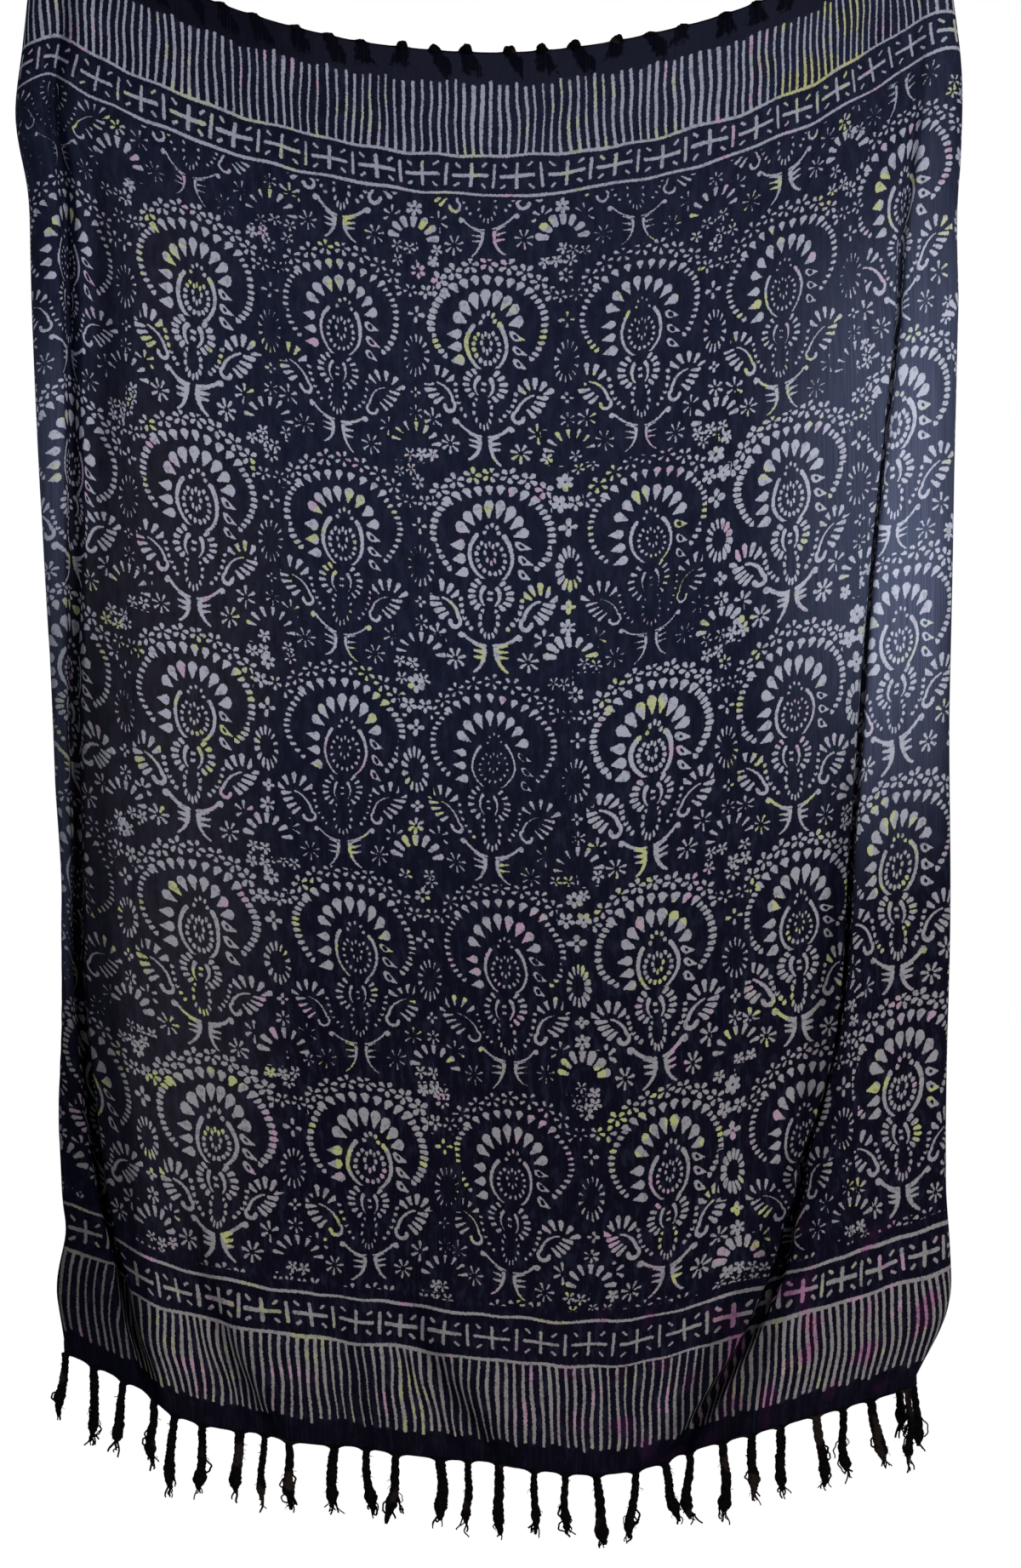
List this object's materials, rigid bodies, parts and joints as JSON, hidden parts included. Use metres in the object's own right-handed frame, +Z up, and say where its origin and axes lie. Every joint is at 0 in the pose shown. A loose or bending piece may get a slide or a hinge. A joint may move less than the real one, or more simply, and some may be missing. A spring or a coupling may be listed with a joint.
{
  "type": "batik sarong",
  "caption": "Rectangular wrap cloth with tasselled short ends, hung by its two upper corners so that it sags between them and folds at the sides.",
  "frame": {"origin": "middle of the straight line between the two places where the upper corners are held", "axes": "+Z up; +X along the line between the two holds, to the viewer's right; -Y towards the viewer, the side whose figure shows"},
  "size_m": [0.9937, 0.0871, 1.7705],
  "materials": {
    "dyed_cloth": "thin dark navy rayon with a grey-lavender wax-resist figure, slightly sheer, soft sheen",
    "fringe_yarn": "twisted brown-black rayon yarn, knotted, with frayed ends"
  },
  "bodies": {
    "root": {"cloth_panel": "dyed_cloth", "bottom_fringe": "fringe_yarn", "top_fringe": "fringe_yarn"}
  },
  "joints": []
}
